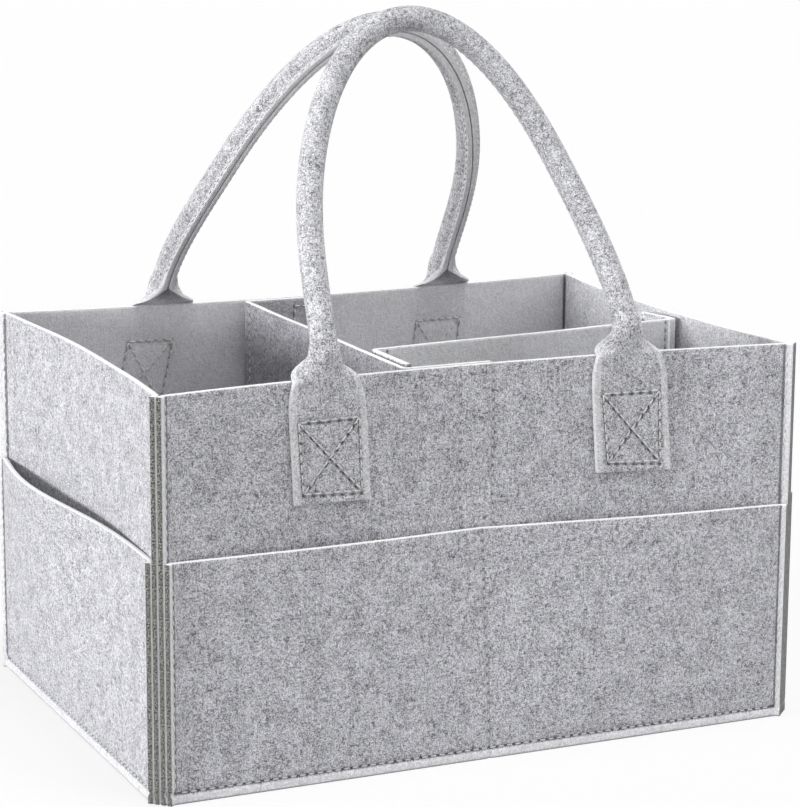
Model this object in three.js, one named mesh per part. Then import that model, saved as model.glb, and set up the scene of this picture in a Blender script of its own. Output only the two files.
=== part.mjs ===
// A felt nursery caddy: an open box of sewn felt with pockets round its outside, two tube
// handles, and two loose dividers held by hook and loop tape.
//
// Millimetres. +X runs along the front wall, +Y towards the back, +Z up. The origin is on the
// floor, under the middle of the base.
import * as THREE from 'three';

// Driving dimensions
const INSIDE_LENGTH = 340;
const INSIDE_DEPTH = 240;
const HEIGHT = 199;
const FELT = 3;
const TAPE = 1;
const CLEARANCE = 0.3;

// Seams: the edges of the panels are turned out and sewn face to face
const CORNER_ALLOWANCE = 6;
const CORNER_TURN = Math.PI / 4;
const BASE_ALLOWANCE = 5;
const BASE_TURN = Math.PI / 20;
const BASE_SAG_RUN = 10;

// The soft walls bow inwards, fully from this height up
const FRONT_BOW = 12;
const BACK_BOW = 12.5;
const LEFT_BOW = 5;
const RIGHT_BOW = 8;
const BOW_HEIGHT = 150;

// Pockets: how far each mouth stands open, how that grows with height and how far towards the
// back it is widest, and how far the front one's edge runs down
const POCKET_HEIGHT = 119;
const LONG_POCKET_GAPE = 8.5;
const LEFT_POCKET_GAPE = 10.5;
const LEFT_SKEW_POWER = 1.9;
const RIGHT_POCKET_GAPE = 9;
const RIGHT_SKEW_POWER = 1.3;
const MOUTH_POWER = 0.8;
const FRONT_POCKET_DROP = 4.5;

// Handles: each is one strip, flat at its sewn feet and rolled into a tube between them
const FOOT_SPACING = 168;
const STRIP_WIDTH = 41;
const SHOULDER_WIDTH = 36;
const SHOULDER_LENGTH = 12;
const TUBE_STRIP_WIDTH = 33;
const FOOT_LENGTH = 60;
const NECK_LENGTH = 17;
const NECK_EASE = 18;
const HINGE_GAP = 0.6;

// Each arch rises from the rim and leans in, until its top hangs this far from the middle
const FRONT_HANDLE_RISE = 166;
const FRONT_TOP_PLACE = 30.42;
const BACK_HANDLE_RISE = 162;
const BACK_TOP_PLACE = 8.66;

// Dividers
const CROSS_DIVIDER_PLACE = -38.5;
const CROSS_DIVIDER_TOP = 199;
const TAB_LENGTH = 48;
const FOLD_RADIUS = 4;
const LONG_DIVIDER_START = -68;
const LONG_DIVIDER_END = -22;
const LONG_DIVIDER_TOP = 202.5;
const LONG_DIVIDER_DROP = 6;
const RIGHT_TAB_LENGTH = 25;

// Hook and loop tapes
const TAPE_WIDTH = 22;
const TAPE_LENGTH = 100;
const TAPE_TOP = 194;

const halfLength = INSIDE_LENGTH / 2;
const halfDepth = INSIDE_DEPTH / 2;

// The felt lies in layers outside the seam planes: the walls first, then the pockets and feet
function layer(number) {
  const start = CLEARANCE / 2 + number * (FELT + CLEARANCE);
  return [start, start + FELT];
}
const WALL = layer(0);
const POCKET = layer(1);

const felt = (color) => new THREE.MeshStandardMaterial({ color, roughness: 0.95, metalness: 0 });
const wallFelt = felt(0xb4b5ba);
const pocketFelt = felt(0xbcbdc1);
const handleFelt = felt(0xc9c9cc);
const dividerFelt = felt(0xaeb1ba);
const hookTape = felt(0xe6e6e4);
const loopTape = felt(0xdcdcda);

const caddy = new THREE.Group();

function evenly(from, to, steps) {
  return Array.from({ length: steps + 1 }, (_, i) => from + ((to - from) * i) / steps);
}

// Makes one closed solid from a sheet that is gridded at the stations across and along.
// place(u, v, w) puts a point of the sheet in space, with w the depth between its two faces.
function addSheet(name, material, { across, along, depths, place }) {
  const columns = across.length;
  const rows = along.length;
  const points = [];
  for (const w of depths) {
    for (const v of along) {
      for (const u of across) {
        points.push(...place(u, v, w));
      }
    }
  }
  const at = (face, i, j) => (face * rows + j) * columns + i;
  const triangles = [];
  for (let j = 0; j < rows - 1; j += 1) {
    for (let i = 0; i < columns - 1; i += 1) {
      const u = across[i] + across[i + 1];
      const v = along[j] + along[j + 1];
      for (const face of [0, 1]) {
        const [a, b] = [at(face, i, j), at(face, i + 1, j)];
        const [c, d] = [at(face, i + 1, j + 1), at(face, i, j + 1)];
        // The fold at a corner runs from the middle of the sheet outwards
        const pair = u * v > 0 ? [[a, b, c], [a, c, d]] : [[a, b, d], [b, c, d]];
        for (const [p, q, r] of pair) {
          triangles.push(...(face === 1 ? [p, q, r] : [p, r, q]));
        }
      }
    }
  }
  const rim = [];
  for (let i = 0; i < columns - 1; i += 1) rim.push([i, 0]);
  for (let j = 0; j < rows - 1; j += 1) rim.push([columns - 1, j]);
  for (let i = columns - 1; i > 0; i -= 1) rim.push([i, rows - 1]);
  for (let j = rows - 1; j > 0; j -= 1) rim.push([0, j]);
  rim.forEach(([i, j], k) => {
    const [m, n] = rim[(k + 1) % rim.length];
    triangles.push(at(0, i, j), at(0, m, n), at(1, m, n));
    triangles.push(at(0, i, j), at(1, m, n), at(1, i, j));
  });

  const geometry = new THREE.BufferGeometry();
  geometry.setAttribute('position', new THREE.Float32BufferAttribute(points, 3));
  geometry.setIndex(signedVolume(points, triangles) > 0 ? triangles : triangles.reverse());
  const mesh = new THREE.Mesh(geometry, material);
  mesh.name = name;
  caddy.add(mesh);
  return mesh;
}

function signedVolume(points, triangles) {
  const corner = (k) => new THREE.Vector3().fromArray(points, triangles[k] * 3);
  let volume = 0;
  for (let k = 0; k < triangles.length; k += 3) {
    volume += corner(k).dot(corner(k + 1).cross(corner(k + 2)));
  }
  return volume;
}

function eased(share) {
  const s = THREE.MathUtils.clamp(share, 0, 1);
  return s * s * (3 - 2 * s);
}

// How far a wall has moved inwards, at a place along it and a height
function bowAt(depth, place, half, z) {
  return depth * Math.max(0, 1 - (place / half) ** 2) * eased(z / BOW_HEIGHT);
}

function bowed([x, y, z]) {
  const inY = bowAt(y < 0 ? FRONT_BOW : -BACK_BOW, x, halfLength, z);
  const inX = bowAt(x < 0 ? LEFT_BOW : -RIGHT_BOW, y, halfDepth, z);
  return [x + inX, y + inY, z];
}

// The four sides: s runs along the wall, out is the distance outside its seam plane
const sides = {
  front: { half: halfLength, at: (s, out, z) => [s, -(halfDepth + out), z] },
  back: { half: halfLength, at: (s, out, z) => [s, halfDepth + out, z] },
  left_end: { half: halfDepth, at: (s, out, z) => [-(halfLength + out), s, z] },
  right_end: { half: halfDepth, at: (s, out, z) => [halfLength + out, s, z] },
};

// Past the corner a panel turns out at 45 degrees to meet its neighbour, and at the bottom it
// turns out a little and is cut off level with the floor. Returns [past corner, below seam, out].
function turnedPanel(pastCorner, belowSeam, w) {
  let along = pastCorner;
  if (pastCorner > 0) along = (CORNER_ALLOWANCE - w) * Math.sin(CORNER_TURN);
  if (pastCorner === 0) along = -w * Math.tan(CORNER_TURN / 2);
  let down = belowSeam;
  if (belowSeam > 0) down = BASE_ALLOWANCE;
  if (belowSeam === 0) down = -w * Math.tan(BASE_TURN / 2);
  const out = Math.max(
    w,
    (w + along * Math.sin(CORNER_TURN)) / Math.cos(CORNER_TURN),
    (w + down * Math.sin(BASE_TURN)) / Math.cos(BASE_TURN),
  );
  return [along, down, out];
}

// Stations are heights below the panel's top, so that the folds at its foot are placed alike.
// The top edge runs down by drop from the panel's left end to its right end.
function sidePanel(side, { top, drop = 0, rows, depths, gape }) {
  const { half, at } = sides[side];
  const steps = half === halfLength ? 16 : 12;
  const across = [-half - CORNER_ALLOWANCE, ...evenly(-half, half, steps), half + CORNER_ALLOWANCE];
  const seam = BASE_ALLOWANCE - top;
  const along = [-top, seam, ...evenly(seam, 0, rows).slice(1)];
  const place = (u, v, w) => {
    const belowSeam = v === seam ? 0 : seam - v;
    const [past, down, out] = turnedPanel(Math.abs(u) - half, belowSeam, w);
    const s = Math.sign(u) * (half + past);
    const droppedShare = (drop / top) * THREE.MathUtils.clamp((u + half) / (2 * half), 0, 1);
    const z = (BASE_ALLOWANCE - down) * (1 - droppedShare);
    return bowed(at(s, out + gape(s, z), z));
  };
  return { across, along, depths, place };
}

// Walls
const flat = () => 0;
for (const side of Object.keys(sides)) {
  const panel = sidePanel(side, { top: HEIGHT, rows: 10, depths: WALL, gape: flat });
  addSheet(`${side}_wall`, wallFelt, panel);
}

// Pockets: sewn in at the corners and the bottom, and open at the top. A row of stitches down
// the middle of each long one makes two mouths.
const mouth = (z) => {
  const share = Math.max(0, (z - BASE_ALLOWANCE) / (POCKET_HEIGHT - BASE_ALLOWANCE));
  return share ** MOUTH_POWER;
};
const twoMouths = (s, z) => {
  const share = Math.min(1, Math.abs(s) / halfLength);
  return LONG_POCKET_GAPE * Math.sin(Math.PI * share) * mouth(z);
};
const oneMouth = (gape, skew) => (s, z) => {
  const share = THREE.MathUtils.clamp((s + halfDepth) / INSIDE_DEPTH, 0, 1);
  return gape * Math.sin(Math.PI * share ** skew) * mouth(z);
};
const pockets = {
  front: { gape: twoMouths, drop: FRONT_POCKET_DROP },
  back: { gape: twoMouths },
  left_end: { gape: oneMouth(LEFT_POCKET_GAPE, LEFT_SKEW_POWER) },
  right_end: { gape: oneMouth(RIGHT_POCKET_GAPE, RIGHT_SKEW_POWER) },
};
for (const [side, pocket] of Object.entries(pockets)) {
  const panel = sidePanel(side, { top: POCKET_HEIGHT, rows: 6, depths: POCKET, ...pocket });
  addSheet(`${side}_pocket`, pocketFelt, panel);
}

// Bottom: its edges are turned down inside the walls' edges, and it sags to the floor
const BASE_SAG = BASE_ALLOWANCE - WALL[1];
function sagAt(x, y) {
  const inside = Math.min(halfLength - Math.abs(x), halfDepth - Math.abs(y));
  return BASE_SAG * THREE.MathUtils.clamp(inside / BASE_SAG_RUN, 0, 1);
}
function baseStations(half) {
  return [
    -half - BASE_ALLOWANCE,
    -half,
    ...evenly(BASE_SAG_RUN - half, half - BASE_SAG_RUN, 4),
    half,
    half + BASE_ALLOWANCE,
  ];
}
function turnedBase(pastEdge, w) {
  if (pastEdge > 0) return (BASE_ALLOWANCE * Math.sin(BASE_TURN) - w) / Math.cos(BASE_TURN);
  if (pastEdge === 0) return -w * Math.tan((Math.PI / 2 - BASE_TURN) / 2);
  return pastEdge;
}
addSheet('bottom_panel', wallFelt, {
  across: baseStations(halfLength),
  along: baseStations(halfDepth),
  depths: WALL,
  place: (u, v, w) => {
    const pastX = turnedBase(Math.abs(u) - halfLength, w);
    const pastY = turnedBase(Math.abs(v) - halfDepth, w);
    const steepest = Math.max(pastX, pastY);
    const down = Math.max(w, (w + steepest * Math.cos(BASE_TURN)) / Math.sin(BASE_TURN));
    const x = Math.sign(u) * (halfLength + pastX);
    const y = Math.sign(v) * (halfDepth + pastY);
    return [x, y, BASE_ALLOWANCE - down - sagAt(u, v)];
  },
});

// Half of the rolled strip's section, as the angle of the felt at a share of its half width. It
// rolls past a right angle and comes back to it, so that both raw edges end side by side.
const ROLL_ANGLE = 2.4;
const ROLL_SHARE = 0.73;
function rollAngle(share) {
  if (share < ROLL_SHARE) return (ROLL_ANGLE * share) / ROLL_SHARE;
  const back = (share - ROLL_SHARE) / (1 - ROLL_SHARE);
  return ROLL_ANGLE + (Math.PI / 2 - ROLL_ANGLE) * back;
}

// The strip's section at a point u across it, with curl from 0, flat, to 1, a closed tube.
// Returns [sideways, inwards] for the depth w inside the outer face.
function stripSection(u, w, width, curl) {
  const half = width / 2;
  const steps = 40;
  const share = Math.min(1, Math.abs(u));
  let side = 0;
  let depth = 0;
  for (let k = 0; k < steps; k += 1) {
    const angle = curl * rollAngle((share * (k + 0.5)) / steps);
    side += (Math.cos(angle) * share * half) / steps;
    depth += (Math.sin(angle) * share * half) / steps;
  }
  const angle = curl * rollAngle(share);
  const inner = w - FELT / 2;
  side -= inner * Math.sin(angle);
  depth += inner * Math.cos(angle);
  return [Math.sign(u) * side, depth + FELT / 2];
}

// One handle. The arch is half an ellipse that leans in over the caddy and straightens as it
// rises, and the strip's middle line follows it.
function addHandle(side, { outward, rise, topPlace, wallBow, straightenShare }) {
  const halfSpan = FOOT_SPACING / 2;
  const outerFace = halfDepth + POCKET[1];
  const start = HEIGHT + HINGE_GAP / 2;
  const footBow = (x) => bowAt(wallBow, x, halfLength, HEIGHT);
  const pastNeck = (h) => h - NECK_EASE * (1 - Math.exp(-h / NECK_EASE));
  const topReach = outerFace - footBow(halfSpan) - topPlace;
  const leanShare = (topReach + straightenShare * rise) / pastNeck(rise);
  const inward = (h) => leanShare * pastNeck(h) - (straightenShare * h * h) / rise;
  const spine = (turn) => {
    const h = rise * Math.sin(turn);
    const x = -halfSpan * Math.cos(turn);
    return new THREE.Vector3(x, outward * (outerFace - footBow(halfSpan) - inward(h)), start + h);
  };

  const fine = evenly(0, Math.PI, 720).map(spine);
  const reached = [0];
  for (let k = 1; k < fine.length; k += 1) {
    reached.push(reached[k - 1] + fine[k].distanceTo(fine[k - 1]));
  }
  const total = reached[reached.length - 1];
  const pointAt = (length) => {
    let k = 1;
    while (k < fine.length - 1 && reached[k] < length) k += 1;
    const share = (length - reached[k - 1]) / (reached[k] - reached[k - 1]);
    return fine[k - 1].clone().lerp(fine[k], share);
  };

  const neck = evenly(0, NECK_LENGTH, 6);
  const tube = evenly(NECK_LENGTH, total - NECK_LENGTH, 30).slice(1, -1);
  const farNeck = neck.map((length) => total - length).reverse();
  const rolledShares = [0, 0.15, 0.3, 0.45, 0.6, ROLL_SHARE, 1];
  const across = [...rolledShares.slice(1).reverse().map((share) => -share), ...rolledShares];
  const step = total / 2000;

  addSheet(`${side}_handle`, handleFelt, {
    across,
    along: [...neck, ...tube, ...farNeck],
    depths: [0, FELT],
    place: (u, length, w) => {
      const fromEnd = Math.min(length, total - length);
      const curl = eased(fromEnd / NECK_LENGTH);
      const width = SHOULDER_WIDTH + (TUBE_STRIP_WIDTH - SHOULDER_WIDTH) * curl;
      const [sideways, inwards] = stripSection(u, w, width, curl);
      const here = pointAt(length);
      const ahead = pointAt(Math.min(total, length + step));
      const behind = pointAt(Math.max(0, length - step));
      const tangent = ahead.sub(behind).normalize();
      const slope = (inward(here.z - start + step) - inward(here.z - start)) / step;
      const inner = new THREE.Vector3(0, -outward, -slope).normalize();
      const beside = new THREE.Vector3().crossVectors(inner, tangent).normalize();
      const point = here.addScaledVector(beside, sideways).addScaledVector(inner, inwards);
      // At the foot the strip still follows the bowed wall
      const follows = footBow(point.x) - footBow(halfSpan);
      point.y -= outward * follows * (1 - curl);
      return point.toArray();
    },
  });

  // The feet lie flat on the wall, and narrow at the rim to the width of the neck
  const shoulder = evenly(-SHOULDER_LENGTH, 0, 3);
  for (const [hand, sign] of [['left', -1], ['right', 1]]) {
    addSheet(`${side}_handle_${hand}_foot`, handleFelt, {
      across: evenly(-1, 1, 4),
      along: [...evenly(-FOOT_LENGTH, -SHOULDER_LENGTH, 3).slice(0, -1), ...shoulder],
      depths: POCKET,
      place: (share, v, w) => {
        const narrows = eased(1 + v / SHOULDER_LENGTH);
        const width = STRIP_WIDTH + (SHOULDER_WIDTH - STRIP_WIDTH) * narrows;
        const s = sign * halfSpan + (share * width) / 2;
        return bowed(sides[side].at(s, w, HEIGHT - HINGE_GAP / 2 + v));
      },
    });
  }
}

addHandle('front', {
  outward: -1,
  rise: FRONT_HANDLE_RISE,
  topPlace: FRONT_TOP_PLACE,
  wallBow: FRONT_BOW,
  straightenShare: 0.168,
});
addHandle('back', {
  outward: 1,
  rise: BACK_HANDLE_RISE,
  topPlace: BACK_TOP_PLACE,
  wallBow: BACK_BOW,
  straightenShare: 0.253,
});

// A divider is a sheet on edge that follows a path in plan, with folds of one radius
function foldedPath(corners, radius) {
  const path = [corners[0]];
  for (let k = 1; k < corners.length - 1; k += 1) {
    const before = corners[k - 1].clone().sub(corners[k]).normalize();
    const after = corners[k + 1].clone().sub(corners[k]).normalize();
    const fold = new THREE.QuadraticBezierCurve(
      corners[k].clone().addScaledVector(before, radius),
      corners[k],
      corners[k].clone().addScaledVector(after, radius),
    );
    path.push(...fold.getPoints(5));
  }
  path.push(corners[corners.length - 1]);
  return path;
}

const WIDEST_MITRE = 2;
function sheetOnEdge(path, bottom, topAt, depths) {
  const place = (k, v, w) => {
    const before = path[Math.max(0, k - 1)];
    const after = path[Math.min(path.length - 1, k + 1)];
    const into = path[k].clone().sub(before).normalize();
    const onto = after.clone().sub(path[k]).normalize();
    const along = into.clone().add(onto).normalize();
    const spread = Math.min(WIDEST_MITRE, 1 / along.dot(k === 0 ? onto : into));
    const point = path[k].clone().add(new THREE.Vector2(-along.y, along.x).multiplyScalar(w * spread));
    return [point.x, point.y, bottom + v * (topAt(path[k].x) - bottom)];
  };
  return { across: path.map((_, k) => k), along: evenly(0, 1, 2), depths, place };
}

// Depths inside a seam plane: loop tape on the wall, hook tape on the tab, then the tab
const LOOP_DEPTH = CLEARANCE / 2;
const HOOK_DEPTH = LOOP_DEPTH + TAPE + CLEARANCE;
const TAB_DEPTH = HOOK_DEPTH + TAPE + CLEARANCE;
const tabMiddle = TAB_DEPTH + FELT / 2;

const frontInside = (x, depth) => bowAt(FRONT_BOW, x, halfLength, HEIGHT) + depth - halfDepth;
const backInside = (x, depth) => halfDepth - bowAt(BACK_BOW, x, halfLength, HEIGHT) - depth;
const rightInside = (y, depth) => halfLength - bowAt(RIGHT_BOW, y, halfDepth, HEIGHT) - depth;

const halfFelt = FELT / 2;
const feltFaces = [-halfFelt, halfFelt];
const baseTop = (x, y) => BASE_ALLOWANCE - WALL[0] - sagAt(x, y);
const standingOn = (path) => {
  const highest = Math.max(...path.map(({ x, y }) => baseTop(Math.abs(x) + FELT, Math.abs(y) + FELT)));
  return highest + CLEARANCE;
};

// Cross divider, from the front wall to the back wall, with both tabs turned to the right
const tabEnd = CROSS_DIVIDER_PLACE + TAB_LENGTH;
const crossPath = foldedPath(
  [
    new THREE.Vector2(tabEnd, frontInside(tabEnd, tabMiddle)),
    new THREE.Vector2(CROSS_DIVIDER_PLACE, frontInside(CROSS_DIVIDER_PLACE, tabMiddle)),
    new THREE.Vector2(CROSS_DIVIDER_PLACE, backInside(CROSS_DIVIDER_PLACE, tabMiddle)),
    new THREE.Vector2(tabEnd, backInside(tabEnd, tabMiddle)),
  ],
  FOLD_RADIUS,
);
const crossBottom = standingOn(crossPath);
const crossTop = () => CROSS_DIVIDER_TOP;
addSheet('cross_divider', dividerFelt, sheetOnEdge(crossPath, crossBottom, crossTop, feltFaces));

// Long divider, from the cross divider to the right end wall
const besideCross = CROSS_DIVIDER_PLACE + halfFelt + CLEARANCE / 2 + tabMiddle;
const leftTabEnd = frontInside(besideCross, tabMiddle + halfFelt) + FOLD_RADIUS + CLEARANCE;
const rightTabPlace = rightInside(LONG_DIVIDER_END, tabMiddle);
const longPath = foldedPath(
  [
    new THREE.Vector2(besideCross, leftTabEnd),
    new THREE.Vector2(besideCross, LONG_DIVIDER_START),
    new THREE.Vector2(rightTabPlace, LONG_DIVIDER_END),
    new THREE.Vector2(rightTabPlace, LONG_DIVIDER_END + RIGHT_TAB_LENGTH),
  ],
  FOLD_RADIUS,
);
const longBottom = standingOn(longPath);
const longTop = (x) => {
  const share = (x - besideCross) / (rightTabPlace - besideCross);
  return LONG_DIVIDER_TOP - LONG_DIVIDER_DROP * THREE.MathUtils.clamp(share, 0, 1);
};
addSheet('long_divider', dividerFelt, sheetOnEdge(longPath, longBottom, longTop, feltFaces));

// Tapes. The loop half is sewn to a wall and follows it, the hook half is sewn to a tab.
function addTape(name, material, middle, depths, place, rows) {
  addSheet(name, material, {
    across: evenly(middle - TAPE_WIDTH / 2, middle + TAPE_WIDTH / 2, 2),
    along: evenly(TAPE_TOP - TAPE_LENGTH, TAPE_TOP, rows),
    depths,
    place,
  });
}
const loopDepths = [LOOP_DEPTH, LOOP_DEPTH + TAPE];
const hookDepths = [HOOK_DEPTH, HOOK_DEPTH + TAPE];

const crossTape = tabEnd - TAPE_WIDTH / 2 + CLEARANCE;
addTape('front_wall_loop_tape', loopTape, crossTape, loopDepths, (x, z, w) => (
  [x, bowAt(FRONT_BOW, x, halfLength, z) + w - halfDepth, z]
), 5);
addTape('back_wall_loop_tape', loopTape, crossTape, loopDepths, (x, z, w) => (
  [x, halfDepth - bowAt(BACK_BOW, x, halfLength, z) - w, z]
), 5);
addTape('cross_divider_front_hook_tape', hookTape, crossTape, hookDepths, (x, z, w) => (
  [x, frontInside(x, w), z]
), 1);
addTape('cross_divider_back_hook_tape', hookTape, crossTape, hookDepths, (x, z, w) => (
  [x, backInside(x, w), z]
), 1);

const longTape = leftTabEnd + TAPE_WIDTH / 2;
const crossFace = CROSS_DIVIDER_PLACE + halfFelt + CLEARANCE / 2;
addTape('cross_divider_loop_tape', loopTape, longTape, loopDepths, (y, z, w) => (
  [crossFace + w, y, z]
), 1);
addTape('long_divider_left_hook_tape', hookTape, longTape, hookDepths, (y, z, w) => (
  [crossFace + w, y, z]
), 1);

const rightTape = LONG_DIVIDER_END + RIGHT_TAB_LENGTH - TAPE_WIDTH / 2;
addTape('right_wall_loop_tape', loopTape, rightTape, loopDepths, (y, z, w) => (
  [halfLength - bowAt(RIGHT_BOW, y, halfDepth, z) - w, y, z]
), 5);
addTape('long_divider_right_hook_tape', hookTape, rightTape, hookDepths, (y, z, w) => (
  [rightTabPlace + tabMiddle - w, y, z]
), 1);

export default caddy;
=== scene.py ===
import math

import bpy
import numpy as np
from mathutils import Matrix, Vector


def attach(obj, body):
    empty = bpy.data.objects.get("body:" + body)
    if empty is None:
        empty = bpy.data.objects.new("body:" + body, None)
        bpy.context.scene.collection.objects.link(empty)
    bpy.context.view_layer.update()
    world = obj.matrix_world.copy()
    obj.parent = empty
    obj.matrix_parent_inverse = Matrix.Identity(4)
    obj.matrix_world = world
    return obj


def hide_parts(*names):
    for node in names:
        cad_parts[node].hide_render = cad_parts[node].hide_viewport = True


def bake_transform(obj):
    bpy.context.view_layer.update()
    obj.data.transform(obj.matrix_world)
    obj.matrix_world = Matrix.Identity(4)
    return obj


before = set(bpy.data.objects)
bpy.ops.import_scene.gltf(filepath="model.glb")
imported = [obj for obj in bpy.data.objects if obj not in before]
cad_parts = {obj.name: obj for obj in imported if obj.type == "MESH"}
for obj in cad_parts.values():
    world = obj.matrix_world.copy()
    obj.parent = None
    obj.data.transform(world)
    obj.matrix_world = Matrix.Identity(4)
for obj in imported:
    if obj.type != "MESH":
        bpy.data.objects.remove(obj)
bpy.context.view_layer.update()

# Bottom panel. One cut of polyester felt, laid flat, with its four edges turned down inside the
# walls' edges and sewn there. Its middle sags between the seams until it rests on the floor.
INSIDE_LENGTH = 0.340
INSIDE_DEPTH = 0.240
FELT = 0.003
CLEARANCE = 0.0003
BASE_ALLOWANCE = 0.005
BASE_TURN = math.pi / 20
BASE_SAG_RUN = 0.010
HALF_LENGTH = INSIDE_LENGTH / 2
HALF_DEPTH = INSIDE_DEPTH / 2
CUT_ROUNDING = 0.0004
CUT_SUPPORT = 0.0013
CREASE = 0.0009
FOLD_RUN = 0.008
LINE_GROOVE = 0.0012
GROOVE_SHARES = (-2, -1.2, -0.5, 0, 0.5, 1.2, 2)
CLEAR_SHARE = 0.6
BASE_STEP = 0.004
STITCH_PITCH = 0.0047
MARK_CORE = 0.0003
MARK_REACH = 0.0009
HOLE_FADE_SHARES = (0.06, 0.40)
BETWEEN_HOLES_SHARE = 0.15
# A painted highlight on a seam's allowance, from this far past the seam to full at the next
HIGHLIGHT_FROM = 0.0008
HIGHLIGHT_AT = 0.0014
# A painted contact shadow along the bottom cut, from this far past the seam
CONTACT_SHADOW_PAST = 0.0041
PILE_DEPTH = 0.0011
INNER_FACE_SHIFT = (0.61, 0.37)
INNER_FACE_FROM = (0.39, 0.40)
# How much painted light pales an inner face, and the colours of painted light, painted shade and the
# thread's shadow
INNER_PAINTED_LIGHT_SHARE = 0.25
PAINTED_LIGHT_FELT = (0.96, 0.96, 0.98)
PAINTED_SHADE_FELT = (0.05, 0.05, 0.06)
THREAD_SHADOW = (0.03, 0.03, 0.035)


def layer(number):
    start = CLEARANCE / 2 + number * (FELT + CLEARANCE)
    return start, start + FELT


WALL = layer(0)
POCKET = layer(1)


def softer(one, other, crease=CREASE):
    """The larger of two surfaces, with the fold between them rounded."""
    return 0.5 * (one + other + np.sqrt((one - other) ** 2 + crease**2))


def eased(share):
    s = np.clip(share, 0, 1)
    return s * s * (3 - 2 * s)


def turned(place, half, at_fold, at_end, allowance):
    """How far a flat place lies past a seam line, where the felt beyond the line is turned."""
    drawn_in = np.clip((place - half + FOLD_RUN) / FOLD_RUN, 0, 1)
    beyond = np.clip((place - half) / allowance, 0, 1)
    near = -FOLD_RUN + drawn_in * (FOLD_RUN + at_fold) + beyond * (at_end - at_fold)
    return np.where(place < half - FOLD_RUN, place - half, near)


def stations(low, high, step, lines=()):
    """Places from a cut edge to the other, with closer ones at the edges and along sewn lines."""
    close = [low, low + CUT_SUPPORT, high - CUT_SUPPORT, high]
    for line in lines:
        close += [line + share * LINE_GROOVE for share in GROOVE_SHARES]
    close = [place for place in close if low <= place <= high]
    regular = np.linspace(low, high, int(math.ceil((high - low) / step)) + 1)
    clear = min(step, CUT_SUPPORT) * CLEAR_SHARE
    kept = [place for place in regular if min(abs(place - c) for c in close) > clear]
    return np.array(sorted(set(close + kept)))


def no_seam(u, v):
    return np.full(len(u), -1.0)


def placed(name, data):
    made = bpy.data.objects.new(name, data)
    bpy.context.scene.collection.objects.link(made)
    return made


def closed_sheet(
    name, across, along, place, raw, thickness=FELT, flat_share=1.0, past_seam=no_seam,
):
    """One closed piece of cloth, gridded at its flat stations. place(u, v, d) puts the flat
    points in space, with d the depth below the outer face. raw gives how frayed the left, right,
    bottom and top cuts look, and below zero how pale: partly pale fibres, partly a painted
    highlight. flat_share is the flat width of one unit of u, and past_seam(u, v)
    is how far a flat place lies in the allowance beyond a seam."""
    rounding = min(CUT_ROUNDING, thickness / 4)
    inner_across, inner_along = across.copy(), along.copy()
    inner_across[[0, -1]] += np.array([1, -1]) * rounding / flat_share
    inner_along[[0, -1]] += np.array([1, -1]) * rounding
    columns, rows = len(across), len(along)
    rim = [(i, 0) for i in range(columns)] + [(columns - 1, j) for j in range(1, rows)]
    rim += [(i, rows - 1) for i in range(columns - 2, -1, -1)]
    rim += [(0, j) for j in range(rows - 2, 0, -1)]
    rim_i, rim_j = np.array(rim).T

    u_face, v_face = np.meshgrid(inner_across, inner_along)
    u_face, v_face = u_face.ravel(), v_face.ravel()
    u_rim, v_rim = across[rim_i], along[rim_j]
    rim_depths = [rounding, thickness / 2, thickness - rounding]
    faces = len(u_face)
    u = np.concatenate([u_face] + [u_rim] * 3 + [u_face])
    v = np.concatenate([v_face] + [v_rim] * 3 + [v_face])
    depth_list = [np.zeros(faces)] + [np.full(len(rim), d) for d in rim_depths]
    d = np.concatenate(depth_list + [np.full(faces, thickness)])
    points = np.column_stack(place(u, v, d))

    grid = np.arange(faces).reshape(rows, columns)
    quads = np.stack([grid[:-1, :-1], grid[:-1, 1:], grid[1:, 1:], grid[1:, :-1]], -1).reshape(-1, 4)
    last = faces + 3 * len(rim)
    rings = [grid[rim_j, rim_i]] + [faces + k * len(rim) + np.arange(len(rim)) for k in range(3)]
    rings.append(last + rings[0])
    sides = [
        np.stack([below, above, np.roll(above, -1), np.roll(below, -1)], -1)
        for below, above in zip(rings[:-1], rings[1:])
    ]
    polygons = np.concatenate([quads] + sides + [(quads + last)[:, ::-1]])
    a, b, c, e = (points[polygons[:, k]] for k in range(4))
    volume = np.einsum("ij,ij->", a, np.cross(b, c) + np.cross(c, e))
    if volume < 0:
        polygons = polygons[:, ::-1]

    # The flat place of each corner, so that the marl stays on the felt wherever it bends
    out_u = 1 * (rim_i == columns - 1) - (rim_i == 0)
    out_v = 1 * (rim_j == rows - 1) - (rim_j == 0)
    flat = np.column_stack([u * flat_share, v])
    flat[faces:last] += np.concatenate([np.column_stack([out_u, out_v]) * depth for depth in rim_depths])
    flat_corners = flat[polygons]
    flat_corners[-len(quads):] += INNER_FACE_SHIFT

    mesh = bpy.data.meshes.new(name)
    mesh.from_pydata(points.tolist(), [], polygons.tolist())
    mesh.uv_layers.new(name="flat").data.foreach_set("uv", flat_corners.ravel())
    frayed = np.zeros(len(points))
    left, right, bottom, top = raw
    on_rim = np.select([rim_i == 0, rim_i == columns - 1, rim_j == 0], [left, right, bottom], top)
    frayed[faces:last] = np.tile(on_rim, 3)
    mesh.attributes.new("raw_cut", "FLOAT", "POINT").data.foreach_set("value", frayed)
    past = past_seam(u, v)
    mesh.attributes.new("past_seam", "FLOAT", "POINT").data.foreach_set("value", past)
    mesh.polygons.foreach_set("use_smooth", [True] * len(polygons))
    mesh.validate()
    return placed(name, mesh)


def add(tree, kind, inputs=None, **settings):
    """A shader node, with its settings, and its inputs set or linked."""
    made = tree.nodes.new("ShaderNode" + kind)
    for key, value in settings.items():
        setattr(made, key, value)
    for key, value in (inputs or {}).items():
        if isinstance(value, bpy.types.NodeSocket):
            tree.links.new(value, made.inputs[key])
        else:
            made.inputs[key].default_value = value
    return made


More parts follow.
